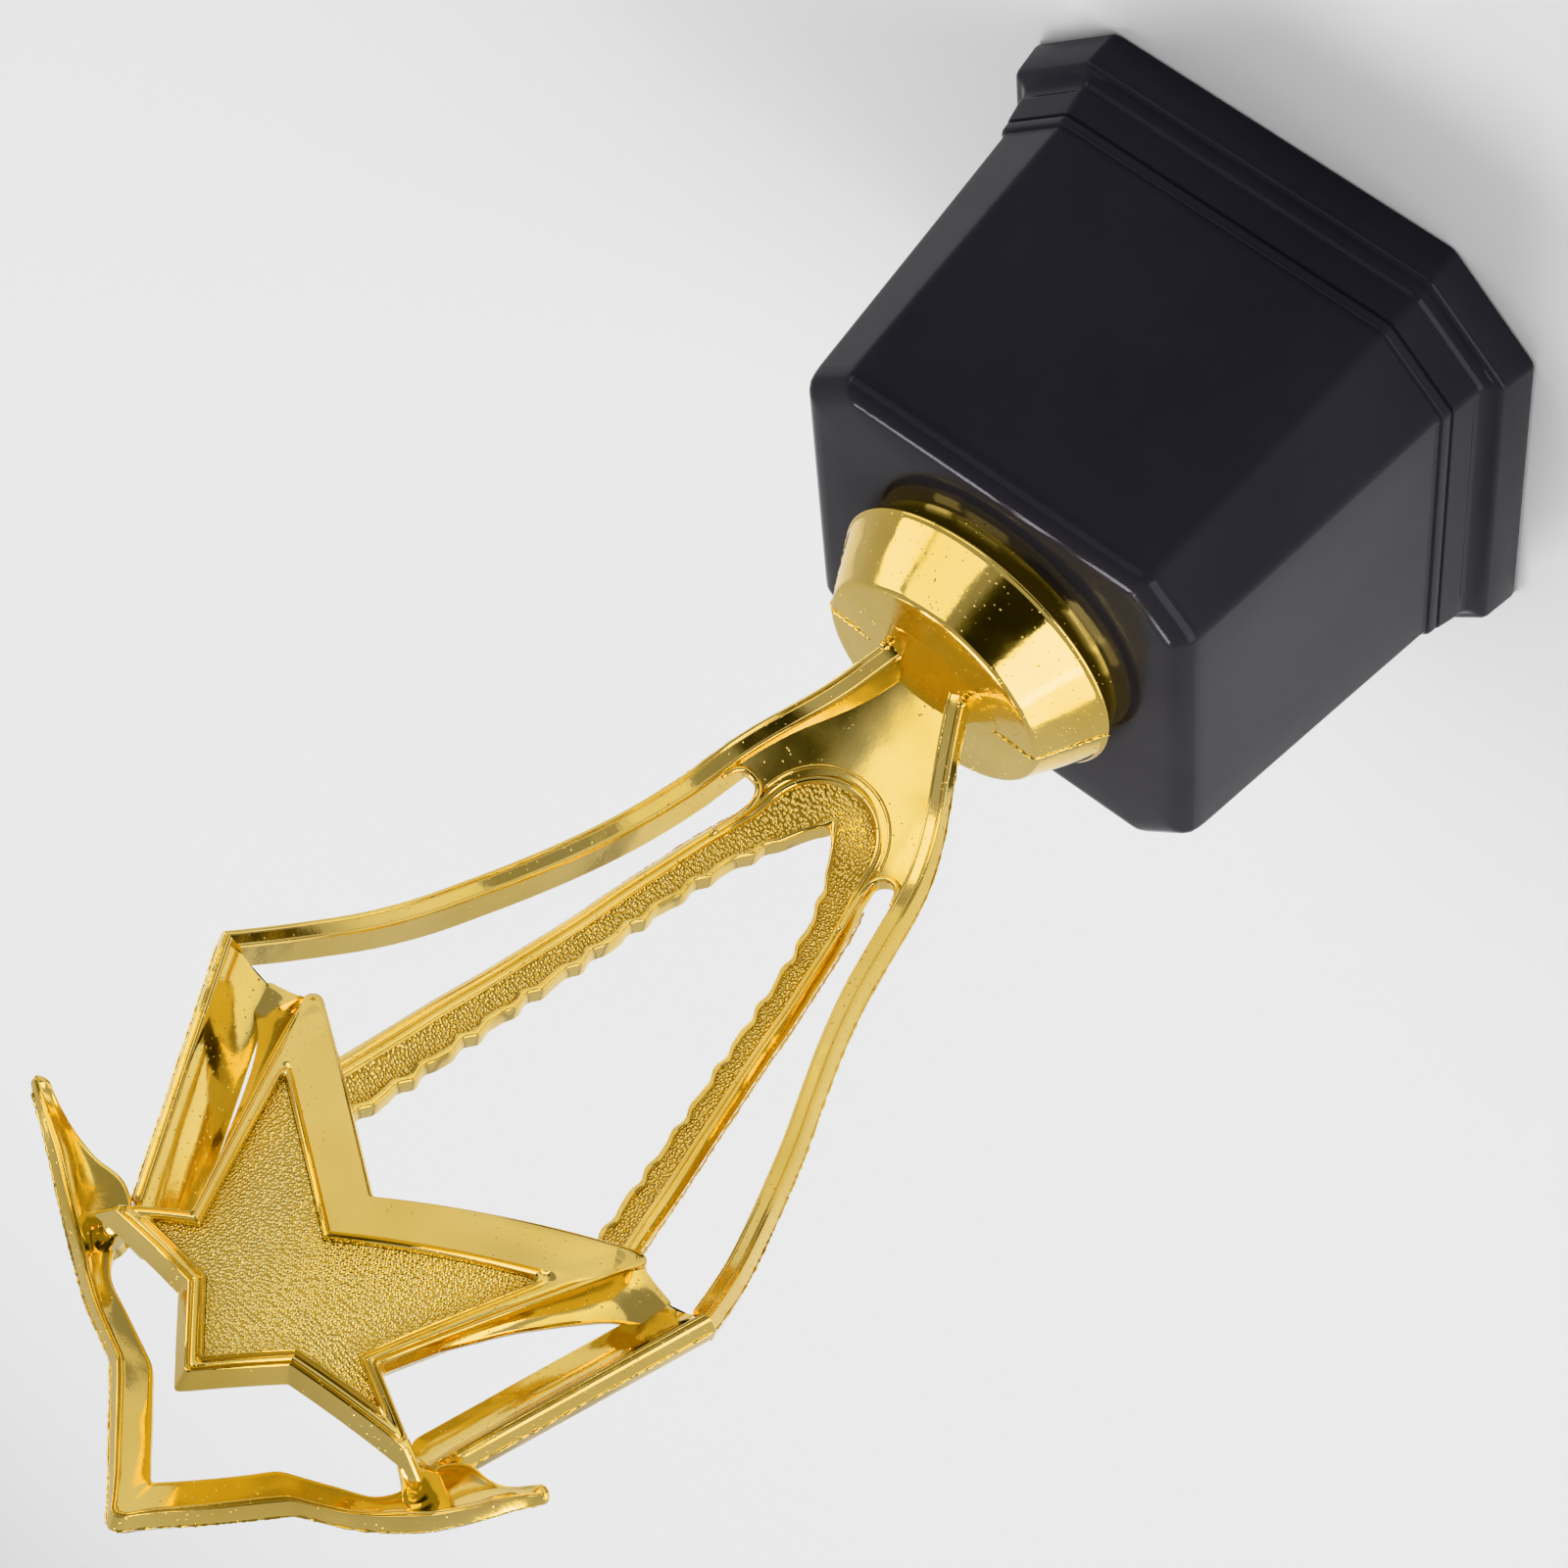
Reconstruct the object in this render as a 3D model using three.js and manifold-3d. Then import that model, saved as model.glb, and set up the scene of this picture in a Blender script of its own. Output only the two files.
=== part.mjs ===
// Star trophy: a gold-plated openwork figure on a black octagonal base.
// Millimetres, +Z up, front towards -Y, origin at the centre of the underside.
import * as THREE from "three";
import { ConvexGeometry } from "three/addons/geometries/ConvexGeometry.js";
import { mergeVertices } from "three/addons/utils/BufferGeometryUtils.js";
import Module from "manifold-3d";

// Base: half width, corner chamfer and height of each level, from the floor up.
const BASE_LEVELS = [
  [35.0, 11.4, 0.0],
  [34.3, 10.6, 5.0],
  [31.9, 9.0, 7.0],
  [31.4, 8.9, 10.0],
  [30.7, 8.3, 11.5],
  [27.2, 6.4, 49.4],
  [26.0, 5.8, 51.2],
];
const WALL = 2.2;
const BASE_TOP = 51.2;
const COVER = { thickness: 1.8, lip: 6.0, gap: 0.35 };
const SCREW = { hole: 2.2, shank: 1.5, head: 3.4, headHeight: 2.4, washer: 6.0, washerHeight: 1.0, tip: 59.0 };

// Figure: turned a little on its base, all pieces below are in its own frame.
const FIGURE_TWIST = -4.6;
const FIGURE_SHIFT = 0.7;
const COLLAR_TOP = 62.0;
const GAP = 0.3;

// Rib: height, half distance and depth position of the front ridge.
const RIB_RIDGE = [
  [62.3, 5.4, -2.7], [67, 7.7, 0.8], [73, 11.2, 4.8], [79, 13.6, 6.6], [85, 14.9, 7.4],
  [94, 17.1, 6.8], [103, 20.3, 6.3], [112, 24.1, 5.6], [118, 26.4, 4.0], [126, 29.6, 0.0],
  [137.9, 34.0, -9.2],
];
const RIB_WIDTH = 2.4;
const RIB_DEPTH = 5.8;

// Textured band: height, outer and inner half distances, depth position of its front.
const BAND = [
  [85.3, 8.9, 4.6, 10.5], [94, 10.9, 7.1, 9.9], [105, 12.9, 9.2, 9.0], [117, 15.3, 11.4, 7.2],
  [129, 17.7, 13.3, 5.5], [140, 19.9, 15.3, 4.3],
];
const BAND_DEPTH = 3.0;

// Post: plan section about its ridge, and where the ridge starts and ends.
const POST_SECTION = [[-0.7, -0.1], [0.7, 0.1], [0.9, 4.4], [-4.8, 7.7], [-6.5, 6.0]];
const POST_FOOT = [34.0, -9.7, 138.2];
const POST_HEAD = [22.6, -3.0, 164.9];

// Crown: outlines as half distance and height, plan as half distance and depth.
const CROWN_OUTER = [[13.3, 179.5], [18.8, 177.0], [22.2, 174.9], [25.5, 172.8], [28.8, 170.6], [32.2, 168.3], [35.5, 165.6]];
const CROWN_INNER = [[8.8, 177.4], [13.9, 175.2], [18.9, 173.0], [21.7, 171.5]];
const WING_UNDERSIDE = [[35.3, 165.1], [33.0, 165.8], [29.0, 165.9], [25.5, 165.4], [22.6, 165.3], [15.9, 165.3], [19.4, 170.4], [22.0, 170.8]];
const APEX = { outer: 193.5, inner: 187.0 };
const CROWN_FRONT = [[0, -2.8], [12.5, -1.5], [18.5, -2.2], [22, -2.9], [25, -4.3], [28, -7.1], [31, -10.3], [33.5, -13.6], [35.7, -16.2]];
const CROWN_DEPTH = 4.4;
const WING_ROOT = 22.0;

// Star: half outline and half panel outline as half distance and height.
const STAR = [[0, 181.0], [7.3, 172.4], [21.6, 170.3], [22.3, 169.2], [13.4, 165.4], [24.1, 138.0], [23.9, 136.4], [22.6, 135.7], [0, 151.9]];
const STAR_PANEL = [[0, 177.2], [6.6, 170.1], [16.2, 168.9], [10.9, 166.2], [17.2, 147.1], [0, 159.5]];
const STAR_BULGE = 0.0145;
const STAR_FRONT = -17.6;
const STAR_TILT = 0.1;
const STAR_DEPTH = 5.0;
const PANEL_RECESS = 1.4;
const PANEL_THICKNESS = 0.8;
const CORE_DEPTH = 2.0;

const wasm = await Module();
wasm.setup();

// ---- solids and booleans ----

function toSolid(geometry) {
  const bare = geometry.clone();
  bare.deleteAttribute("normal");
  bare.deleteAttribute("uv");
  const merged = mergeVertices(bare, 1e-4);
  return new wasm.Manifold(
    new wasm.Mesh({
      numProp: 3,
      vertProperties: merged.attributes.position.array,
      triVerts: new Uint32Array(merged.index.array),
    }),
  );
}

function toGeometry(solid) {
  const { vertProperties, triVerts } = solid.getMesh();
  const geometry = new THREE.BufferGeometry();
  geometry.setAttribute("position", new THREE.BufferAttribute(vertProperties, 3));
  geometry.setIndex(new THREE.BufferAttribute(triVerts, 1));
  geometry.computeVertexNormals();
  return geometry;
}

const materials = {
  gold: new THREE.MeshStandardMaterial({ color: 0xd9a92e, roughness: 0.2, metalness: 1.0 }),
  textured: new THREE.MeshStandardMaterial({ color: 0xd2a63a, roughness: 0.5, metalness: 1.0 }),
  black: new THREE.MeshStandardMaterial({ color: 0x141416, roughness: 0.35, metalness: 0.0 }),
  steel: new THREE.MeshStandardMaterial({ color: 0xb8babd, roughness: 0.35, metalness: 1.0 }),
};

function part(name, shape, material) {
  const geometry = shape.isBufferGeometry ? shape : toGeometry(shape);
  const mesh = new THREE.Mesh(geometry, material.clone());
  mesh.name = name;
  return mesh;
}

// ---- shape helpers ----

const outline = (points) => new THREE.Shape(points.map(([x, y]) => new THREE.Vector2(x, y)));

function extrude(points, depth) {
  return new THREE.ExtrudeGeometry(outline(points), { depth, bevelEnabled: false });
}

// A front-view outline (x, z) carried from y0 to y1.
const frontPlate = (points, y0, y1) => extrude(points, y1 - y0).rotateX(Math.PI / 2).translate(0, y1, 0);

// A side-view outline (y, z) carried across x0..x1.
function sidePlate(points, x0, x1) {
  const axes = new THREE.Matrix4().makeBasis(
    new THREE.Vector3(0, 1, 0),
    new THREE.Vector3(0, 0, 1),
    new THREE.Vector3(1, 0, 0),
  );
  return extrude(points, x1 - x0).applyMatrix4(axes).translate(x0, 0, 0);
}

// A plan outline (x, y) carried from z0 to z1.
const planPlate = (points, z0, z1) => extrude(points, z1 - z0).translate(0, 0, z0);

const mirrored = (points, side) => points.map(([x, y]) => [side * x, y]);

// Both halves of a symmetric outline given from its top point down to its bottom point.
const bothSides = (half) => [
  ...half,
  ...half.slice().reverse().filter(([x]) => x > 0).map(([x, y]) => [-x, y]),
];

// A smooth run of points through the given ones.
function smooth(points, count) {
  const curve = new THREE.CatmullRomCurve3(points.map(([a, b]) => new THREE.Vector3(a, b, 0)), false, "centripetal");
  return curve.getPoints(count).map((p) => [p.x, p.y]);
}

// The common part of a front-view outline and a band seen along another axis.
const common = (a, b) => toSolid(a).intersect(toSolid(b));

function lathe(points, segments = 48) {
  return new THREE.LatheGeometry(points.map(([r, z]) => new THREE.Vector2(r, z)), segments).rotateX(Math.PI / 2);
}

// ---- base ----

function octagon([w, c, z], inset = 0) {
  const a = w - inset;
  const b = a - Math.max(c - inset * 0.59, 0.5);
  return [[a, -b], [a, b], [b, a], [-b, a], [-a, b], [-a, -b], [-b, -a], [b, -a]].map(
    ([x, y]) => new THREE.Vector3(x, y, z),
  );
}

function stack(levels) {
  return levels
    .slice(1)
    .map((level, i) => toSolid(new ConvexGeometry([...octagon(levels[i]), ...octagon(level)])))
    .reduce((a, b) => a.add(b));
}

function cylinder(radius, z0, z1, segments = 32) {
  return new THREE.CylinderGeometry(radius, radius, z1 - z0, segments)
    .rotateX(Math.PI / 2)
    .translate(0, 0, (z0 + z1) / 2);
}

function baseShell() {
  const inner = [
    [BASE_LEVELS[0][0] - WALL, 10.1, -1],
    [BASE_LEVELS[1][0] - WALL, 9.4, 4.6],
    [BASE_LEVELS[4][0] - WALL, 7.2, 9.0],
    [BASE_LEVELS[5][0] - WALL, 5.2, BASE_TOP - WALL],
  ];
  return stack(BASE_LEVELS)
    .subtract(stack(inner))
    .subtract(toSolid(cylinder(SCREW.hole, BASE_TOP - WALL - 1, BASE_TOP + 1)));
}

function baseCover() {
  const [w, c] = BASE_LEVELS[0];
  const reach = w - WALL - COVER.gap;
  const plate = stack([[reach, c - 1.4, 0], [reach - 0.2, c - 1.5, COVER.thickness]]);
  const rim = (inset, z0, z1) => stack([[reach - 3.2 - inset, 7.4, z0], [reach - 3.2 - inset, 7.4, z1]]);
  return plate.add(rim(0, COVER.thickness - 0.5, COVER.lip).subtract(rim(1.6, COVER.thickness - 1, COVER.lip + 1)));
}

const UNDER_TOP = BASE_TOP - WALL;

function screw() {
  const { head, headHeight, shank, washerHeight, tip } = SCREW;
  const seat = UNDER_TOP - washerHeight;
  return lathe([
    [0, seat - headHeight], [head - 0.8, seat - headHeight], [head, seat - headHeight + 0.9],
    [head, seat], [shank, seat], [shank, tip - 1.2], [0, tip],
  ], 24);
}

function washer() {
  const { hole, washer, washerHeight } = SCREW;
  const z0 = UNDER_TOP - washerHeight;
  return lathe([[hole, z0], [washer, z0], [washer, UNDER_TOP], [hole, UNDER_TOP], [hole, z0]], 32);
}

// ---- figure ----

// Collar: hollow below, with a boss that takes the screw.
function collar() {
  return lathe([
    [0, SCREW.tip + 0.5], [SCREW.shank + 0.3, SCREW.tip + 0.5], [SCREW.shank + 0.3, BASE_TOP], [6.2, BASE_TOP],
    [6.2, 60.0], [12.9, 60.0], [15.8, 54.2], [15.8, BASE_TOP], [17.4, BASE_TOP], [17.5, 52.9],
    [17.9, 53.5], [18.7, 53.7], [18.9, 54.0], [18.7, 54.4], [14.9, 61.8], [14.6, COLLAR_TOP], [0, COLLAR_TOP],
  ], 64);
}

function rib(side) {
  const across = smooth(RIB_RIDGE.map(([z, x]) => [x + 0.4, z]), 24);
  const along = smooth(RIB_RIDGE.map(([z, , y]) => [y, z]), 24);
  const front = [...across, ...across.slice().reverse().map(([x, z]) => [x - RIB_WIDTH, z])];
  const depth = [...along, ...along.slice().reverse().map(([y, z]) => [y + RIB_DEPTH, z])];
  const [x0, x1] = side > 0 ? [0, 40] : [-40, 0];
  return common(frontPlate(mirrored(front, side), -20, 20), sidePlate(depth, x0, x1));
}

function band(side) {
  const outer = smooth(BAND.map(([z, x]) => [x, z]), 12);
  const inner = smooth(BAND.map(([z, , x]) => [x, z]), 12);
  const along = smooth(BAND.map(([z, , , y]) => [y, z]), 12);
  const depth = [...along, ...along.slice().reverse().map(([y, z]) => [y + BAND_DEPTH, z])];
  const front = mirrored([...outer, ...inner.reverse()], side);
  const [x0, x1] = side > 0 ? [0, 40] : [-40, 0];
  return common(frontPlate(front, -20, 20), sidePlate(depth, x0, x1));
}

// Web between the feet of the ribs; its top edge holds two slot ends and the band's V.
function webPanel() {
  const half = [
    [0, 78.1], [4.45, 85.0], [8.75, 85.0], [8.6, 81.8], [9.2, 80.6], [10.2, 80.2], [11.0, 80.6],
    [10.9, 79.0], [8.2, 72.0], [5.4, 67.5], [3.9, 65.5], [3.1, 62.3], [0, 62.3],
  ];
  const depth = [[3.5, 62.3], [8.8, 73], [10.6, 80], [10.5, 85], [13.4, 85], [13.5, 79], [11.6, 72], [7.6, 62.3]];
  return common(frontPlate(bothSides(half), -20, 20), sidePlate(depth, -20, 20));
}

// A plan section swept up a straight leaning line.
function leaning(section, foot, head) {
  const height = head[2] - foot[2];
  const lean = new THREE.Matrix4().set(
    1, 0, (head[0] - foot[0]) / height, foot[0],
    0, 1, (head[1] - foot[1]) / height, foot[1],
    0, 0, 1, foot[2],
    0, 0, 0, 1,
  );
  return planPlate(section, 0, height).applyMatrix4(lean);
}

// A post, or with a margin the room that its neighbours leave round it.
function post(side, margin = 0) {
  const section = inset(POST_SECTION.slice().reverse(), -margin);
  const slope = [0, 1].map((i) => (POST_HEAD[i] - POST_FOOT[i]) / (POST_HEAD[2] - POST_FOOT[2]));
  const at = ([x, y, z], by) => [side * (x + slope[0] * by), y + slope[1] * by, z + by];
  return toSolid(leaning(mirrored(section, side), at(POST_FOOT, -margin), at(POST_HEAD, margin)));
}

function crownPlan(side) {
  const front = smooth(CROWN_FRONT, 16);
  const depthAt = (x) => CROWN_DEPTH * (x < 24 ? 1 : 1 - (0.62 * (x - 24)) / 12);
  const back = front.map(([x, y]) => [x, y + depthAt(x)]).reverse();
  return planPlate(mirrored([...front, ...back], side), 150, 200);
}

function crownArm(side) {
  const front = [
    [GAP / 2, APEX.outer], ...CROWN_OUTER.filter(([x]) => x < WING_ROOT - 1), [WING_ROOT - GAP, 175.2],
    ...CROWN_INNER.slice().reverse(), [GAP / 2, APEX.inner],
  ];
  return common(frontPlate(mirrored(front, side), -25, 20), crownPlan(side));
}

function wing(side) {
  const front = [[WING_ROOT, 175.0], ...CROWN_OUTER.filter(([x]) => x > WING_ROOT + 1), ...WING_UNDERSIDE];
  return common(frontPlate(mirrored(front, side), -25, 20), crownPlan(side));
}

// A plate bulging towards the front and leaning with the star, between two depths behind its face.
function starShell(from, to) {
  const xs = Array.from({ length: 15 }, (_, i) => -28 + 4 * i);
  const curve = (offset) => xs.map((x) => [x, STAR_FRONT + STAR_BULGE * x * x + offset]);
  return planPlate([...curve(from), ...curve(to).reverse()], -45, 20)
    .rotateX(Math.atan(STAR_TILT))
    .translate(0, 0, 170);
}

const starPlate = (points, from, to) => common(frontPlate(points, -30, 10), starShell(from, to));

// A clockwise outline moved in by a distance: each corner goes to where its two shifted edges meet.
function inset(points, distance) {
  return points.map(([x, y], i) => {
    const [ax, ay] = points.at(i - 1);
    const [bx, by] = points[(i + 1) % points.length];
    const u = new THREE.Vector2(x - ax, y - ay).normalize();
    const v = new THREE.Vector2(bx - x, by - y).normalize();
    const shift = distance / (1 + u.dot(v));
    return [x + (u.y + v.y) * shift, y - (u.x + v.x) * shift];
  });
}

function struts(side) {
  const lower = [[21.0, 144.5], [23.2, 137.2], [28.6, 138.6], [28.6, 142.0], [24.2, 144.2], [22.0, 149.0]];
  const upper = [[20.4, 170.2], [24.6, 171.0], [25.4, 167.8], [21.0, 168.5]];
  const foot = [[17.2, 143.0], [20.4, 137.6], [22.6, 137.2], [22.2, 143.0]];
  return toSolid(frontPlate(mirrored(lower, side), -6.2, -1.8))
    .add(toSolid(frontPlate(mirrored(upper, side), -7.8, -4.4)))
    .add(toSolid(frontPlate(mirrored(foot, side), -7.0, 3.9)));
}

function starBody() {
  let body = starPlate(bothSides(STAR), 0, STAR_DEPTH);
  for (const side of [1, -1]) {
    body = body.add(struts(side)).subtract(post(side, 0.4)).subtract(wingClearance(side));
  }
  return body
    .subtract(starPlate(bothSides(STAR_PANEL), -2, PANEL_RECESS))
    .subtract(starPlate(inset(bothSides(STAR_PANEL), 0.8), STAR_DEPTH - CORE_DEPTH, STAR_DEPTH + 3));
}

function starPanel() {
  const back = PANEL_RECESS - GAP;
  return starPlate(inset(bothSides(STAR_PANEL), GAP), back - PANEL_THICKNESS, back);
}

// Room round the wing's root for the upper strut to stop short of it.
function wingClearance(side) {
  const plan = smooth(CROWN_FRONT, 16);
  const room = [...plan.map(([x, y]) => [x, y - GAP - 0.1]), [40, 6], [0, 6]];
  return toSolid(planPlate(mirrored(room, side), 164.9, 200));
}

// ---- assembly ----

const base = new THREE.Group();
base.add(
  part("base_shell", baseShell(), materials.black),
  part("base_cover", baseCover(), materials.black),
  part("fixing_screw", screw(), materials.steel),
  part("fixing_washer", washer(), materials.steel),
);

const figure = new THREE.Group();
figure.rotation.z = THREE.MathUtils.degToRad(FIGURE_TWIST);
figure.position.x = FIGURE_SHIFT;
figure.add(
  part("web_panel", webPanel(), materials.gold),
  part("star_body", starBody(), materials.gold),
  part("star_panel", starPanel(), materials.textured),
);
for (const [side, name] of [[1, "right"], [-1, "left"]]) {
  figure.add(
    part("rib_" + name, rib(side), materials.gold),
    part("band_" + name, band(side), materials.textured),
    part("post_" + name, post(side), materials.gold),
    part("crown_" + name, crownArm(side), materials.gold),
    part("wing_" + name, wing(side), materials.gold),
  );
}

const trophy = new THREE.Group();
trophy.add(base, part("collar", collar(), materials.gold), figure);

export default trophy;
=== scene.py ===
"""Star trophy: gold-plated openwork figure on a black octagonal base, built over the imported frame."""
import math

import bmesh
import bpy
import numpy as np
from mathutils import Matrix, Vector

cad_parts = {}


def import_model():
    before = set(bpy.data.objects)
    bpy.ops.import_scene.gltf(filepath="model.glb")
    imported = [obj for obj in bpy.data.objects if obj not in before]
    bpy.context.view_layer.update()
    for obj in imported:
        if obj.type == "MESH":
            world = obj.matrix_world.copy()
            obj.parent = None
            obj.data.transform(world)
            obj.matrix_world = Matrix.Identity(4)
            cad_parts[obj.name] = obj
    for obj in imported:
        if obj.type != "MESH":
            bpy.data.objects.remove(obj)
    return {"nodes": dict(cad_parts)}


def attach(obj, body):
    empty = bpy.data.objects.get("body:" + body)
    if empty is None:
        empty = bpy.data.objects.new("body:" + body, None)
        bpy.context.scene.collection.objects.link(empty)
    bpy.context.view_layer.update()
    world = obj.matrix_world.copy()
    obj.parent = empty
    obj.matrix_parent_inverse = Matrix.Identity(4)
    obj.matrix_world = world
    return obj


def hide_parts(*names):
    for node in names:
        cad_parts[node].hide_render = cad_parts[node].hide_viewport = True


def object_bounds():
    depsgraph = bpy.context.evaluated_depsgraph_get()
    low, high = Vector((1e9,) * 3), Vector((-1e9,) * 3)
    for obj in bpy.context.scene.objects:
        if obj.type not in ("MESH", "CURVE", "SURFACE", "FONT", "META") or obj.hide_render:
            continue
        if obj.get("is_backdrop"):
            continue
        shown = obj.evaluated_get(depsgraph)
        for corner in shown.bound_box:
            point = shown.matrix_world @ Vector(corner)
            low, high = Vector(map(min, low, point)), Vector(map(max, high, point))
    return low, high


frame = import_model()
cad_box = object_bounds()

MM = 0.001
# The figure stands a little turned on its base, and a little to the right.
TWIST = math.radians(-4.6)
SHIFT = 0.7
SIDES = ((1, "right"), (-1, "left"))


# ---------------------------------------------------------------- numbers and curves

def curve(points):
    """A smooth function through (t, value...) rows, t rising."""
    table = np.array(points, float)
    t, values = table[:, 0], table[:, 1:]
    slopes = np.gradient(values, t, axis=0)

    def at(x):
        x = min(max(x, t[0]), t[-1])
        i = min(int(np.searchsorted(t, x, side="right")) - 1, len(t) - 2)
        h = t[i + 1] - t[i]
        u = (x - t[i]) / h
        a = (1 + 2 * u) * (1 - u) ** 2 * values[i] + u * (1 - u) ** 2 * h * slopes[i]
        b = u * u * (3 - 2 * u) * values[i + 1] + u * u * (u - 1) * h * slopes[i + 1]
        result = a + b
        return result[0] if len(result) == 1 else result

    return at


def steps(a, b, n):
    return [a + (b - a) * i / (n - 1) for i in range(n)]


def around(n):
    """Angles of n points round a full turn."""
    return np.linspace(0, 2 * math.pi, n, endpoint=False)


def smoothstep(x):
    x = min(max(x, 0.0), 1.0)
    return x * x * (3 - 2 * x)


def rounded(corners, arc=4):
    """A closed outline: each (x, y, radius) corner becomes arc + 1 points, or stays one point if its radius is 0."""
    out = []
    n = len(corners)
    for i, (x, y, r) in enumerate(corners):
        if r == 0:
            out.append((x, y))
            continue
        p = np.array([x, y])
        a = np.array(corners[i - 1][:2]) - p
        b = np.array(corners[(i + 1) % n][:2]) - p
        la, lb = np.linalg.norm(a), np.linalg.norm(b)
        a, b = a / la, b / lb
        cos = float(np.clip(a @ b, -0.9999, 0.9999))
        half = math.acos(cos) / 2
        cut = min(r / math.tan(half), 0.48 * la, 0.48 * lb)
        start, end = p + a * cut, p + b * cut
        for k in range(arc + 1):
            u = k / arc
            w = 2 * u * (1 - u) * math.sin(half)
            weights = np.array([(1 - u) ** 2, w, u ** 2])
            weights /= weights.sum()
            out.append(tuple(weights[0] * start + weights[1] * p + weights[2] * end))
    return out


def arc_between(start, pull, end, n):
    """Corner rows with no rounding along a quadratic curve."""
    start, pull, end = np.array(start), np.array(pull), np.array(end)
    rows = []
    for t in steps(0, 1, n):
        x, y = (1 - t) ** 2 * start + 2 * t * (1 - t) * pull + t * t * end
        rows.append((x, y, 0))
    return rows


# ---------------------------------------------------------------- meshes

def figure(x, y, z):
    """Figure frame in millimetres to the world in metres."""
    c, s = math.cos(TWIST), math.sin(TWIST)
    return ((x * c - y * s + SHIFT) * MM, (x * s + y * c) * MM, z * MM)


def world(x, y, z):
    """Base frame in millimetres to the world in metres."""
    return (x * MM, y * MM, z * MM)


def build(name, vertices, faces, materials, paint=None, place=figure, sharp=34):
    """A mesh piece from points and faces; paint gives each face's place in the list of materials."""
    mesh = bpy.data.meshes.new(name)
    mesh.from_pydata([place(*v) for v in vertices], [], faces)
    if paint:
        mesh.polygons.foreach_set("material_index", paint)
    work = bmesh.new()
    work.from_mesh(mesh)
    bmesh.ops.remove_doubles(work, verts=work.verts, dist=2e-6)
    bmesh.ops.recalc_face_normals(work, faces=work.faces)
    work.to_mesh(mesh)
    work.free()
    mesh.polygons.foreach_set("use_smooth", [True] * len(mesh.polygons))
    mesh.set_sharp_from_angle(angle=math.radians(sharp))
    for material in materials:
        mesh.materials.append(material)
    obj = bpy.data.objects.new(name, mesh)
    bpy.context.collection.objects.link(obj)
    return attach(obj, "root")


def loft(name, rings, materials, paint=None, closed=False, **more):
    """Skin over rings of equal length, each a closed loop; paint gives the material of each strip along the rings."""
    n, count = len(rings[0]), len(rings)
    vertices = [p for ring in rings for p in ring]
    faces, colours = [], []
    for i in range(count if closed else count - 1):
        a, b = i * n, (i + 1) % count * n
        for j in range(n):
            faces.append((a + j, a + (j + 1) % n, b + (j + 1) % n, b + j))
            colours.append(paint[j] if paint else 0)
    if not closed:
        for ring, base in ((rings[0], 0), (rings[-1], (count - 1) * n)):
            vertices.append(tuple(np.mean(np.array(ring), axis=0)))
            for j in range(n):
                faces.append((base + j, base + (j + 1) % n, len(vertices) - 1))
                colours.append(0)
    return build(name, vertices, faces, materials, colours, **more)


def lathe(profile, count=160):
    """Rings of a turned shape from its (radius, height) rows."""
    return [[(r * math.cos(a), r * math.sin(a), z) for a in around(count)] for r, z in profile]


# ---------------------------------------------------------------- materials

def nodes_of(name):
    """A new node material with its tree and its shader."""
    material = bpy.data.materials.new(name)
    material.use_nodes = True
    tree = material.node_tree
    return material, tree, tree.nodes["Principled BSDF"]


def node(tree, kind, **inputs):
    """A new node; each keyword sets an input, or else a property."""
    made = tree.nodes.new(kind)
    for key, value in inputs.items():
        if key in made.inputs:
            made.inputs[key].default_value = value
        else:
            setattr(made, key, value)
    return made


def noise(tree, coords, scale, detail=3.0, rough=0.55):
    made = node(tree, "ShaderNodeTexNoise")
    made.inputs["Scale"].default_value = scale
    made.inputs["Detail"].default_value = detail
    made.inputs["Roughness"].default_value = rough
    tree.links.new(coords, made.inputs["Vector"])
    return made.outputs["Fac"]


def ramp(tree, value, low, high, a, b):
    made = node(tree, "ShaderNodeMapRange")
    made.inputs["From Min"].default_value = low
    made.inputs["From Max"].default_value = high
    made.inputs["To Min"].default_value = a
    made.inputs["To Max"].default_value = b
    tree.links.new(value, made.inputs["Value"])
    return made.outputs["Result"]


def mix_colour(tree, factor, a, b):
    made = tree.nodes.new("ShaderNodeMix")
    made.data_type = "RGBA"
    made.inputs[6].default_value = (*a, 1)
    made.inputs[7].default_value = (*b, 1)
    tree.links.new(factor, made.inputs[0])
    return made.outputs[2]


def bump(tree, height, strength, distance, before=None):
    made = node(tree, "ShaderNodeBump")
    made.inputs["Strength"].default_value = strength
    made.inputs["Distance"].default_value = distance
    tree.links.new(height, made.inputs["Height"])
    if before is not None:
        tree.links.new(before, made.inputs["Normal"])
    return made.outputs["Normal"]


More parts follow.
